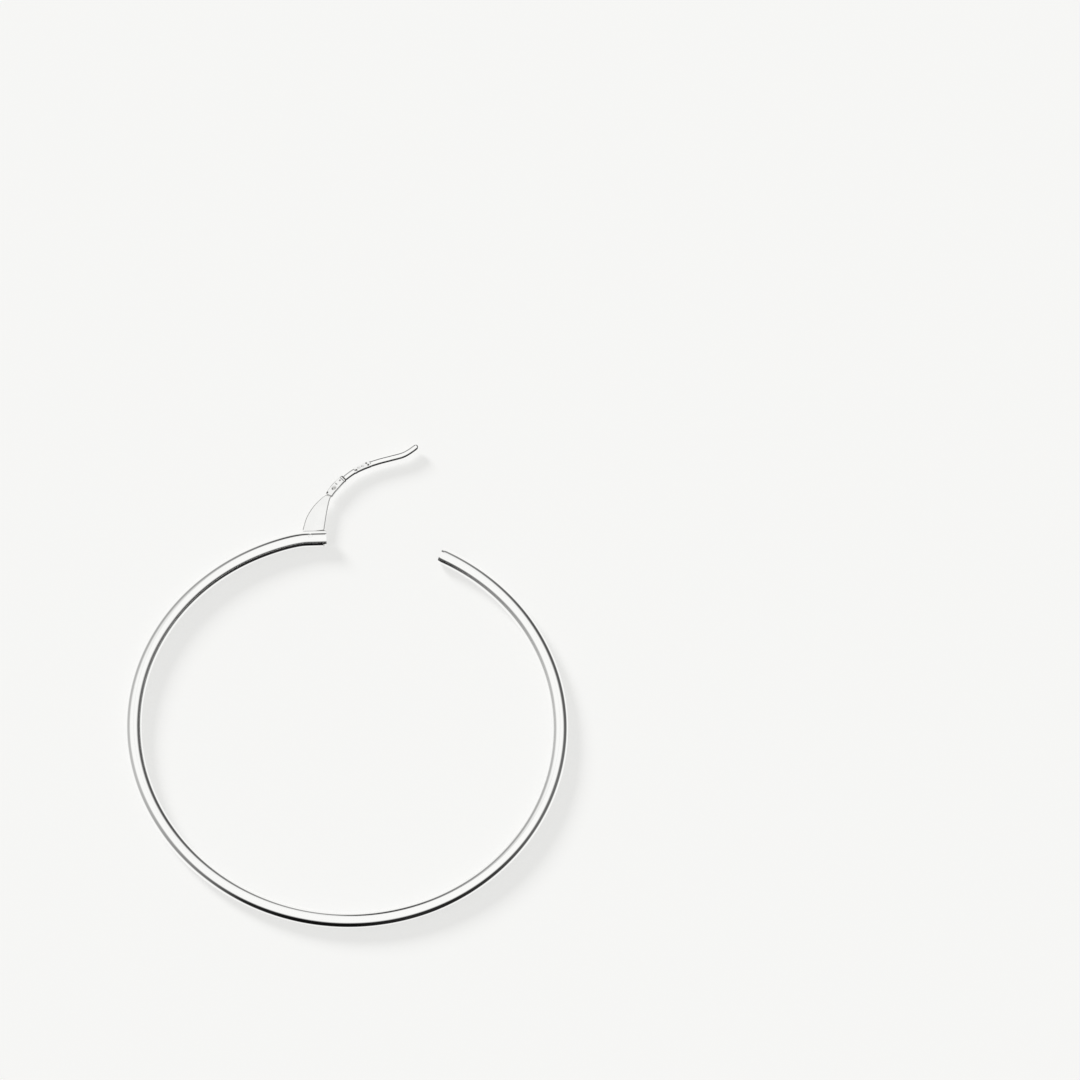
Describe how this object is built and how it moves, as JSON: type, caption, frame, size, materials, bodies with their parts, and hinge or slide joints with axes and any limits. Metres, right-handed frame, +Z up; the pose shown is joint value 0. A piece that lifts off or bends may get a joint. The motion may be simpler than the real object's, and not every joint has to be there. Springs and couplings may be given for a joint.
{
  "type": "hoop earring",
  "caption": "Slim round hoop earring of polished silver tube, lying open, with a hinged ear wire that swings across the gap and tucks into the notched free end.",
  "frame": {"origin": "middle of the footprint, on the surface that the earring lies on", "axes": "+Z up, square to the hoop's plane; +Y from the hoop's centre through the ear opening; +X from the hinge end towards the free end"},
  "size_m": [0.0502, 0.0618, 0.0018],
  "materials": {
    "polished_silver": "mirror-polished sterling silver with faint buffing marks",
    "wire_silver": "polished sterling silver, pressed flat and punched in two places"
  },
  "bodies": {
    "hoop": {"hoop_tube": "polished_silver", "hinge_pin": "polished_silver"},
    "lever": {"ear_wire": "wire_silver"}
  },
  "joints": [
    {"name": "ear_wire_hinge", "type": "hinge", "parent": "hoop", "child": "lever", "pos_m": [-0.00838, 0.01685, 0.0009], "axis": [0, 0, 1], "range_deg": [-53, 0]}
  ]
}
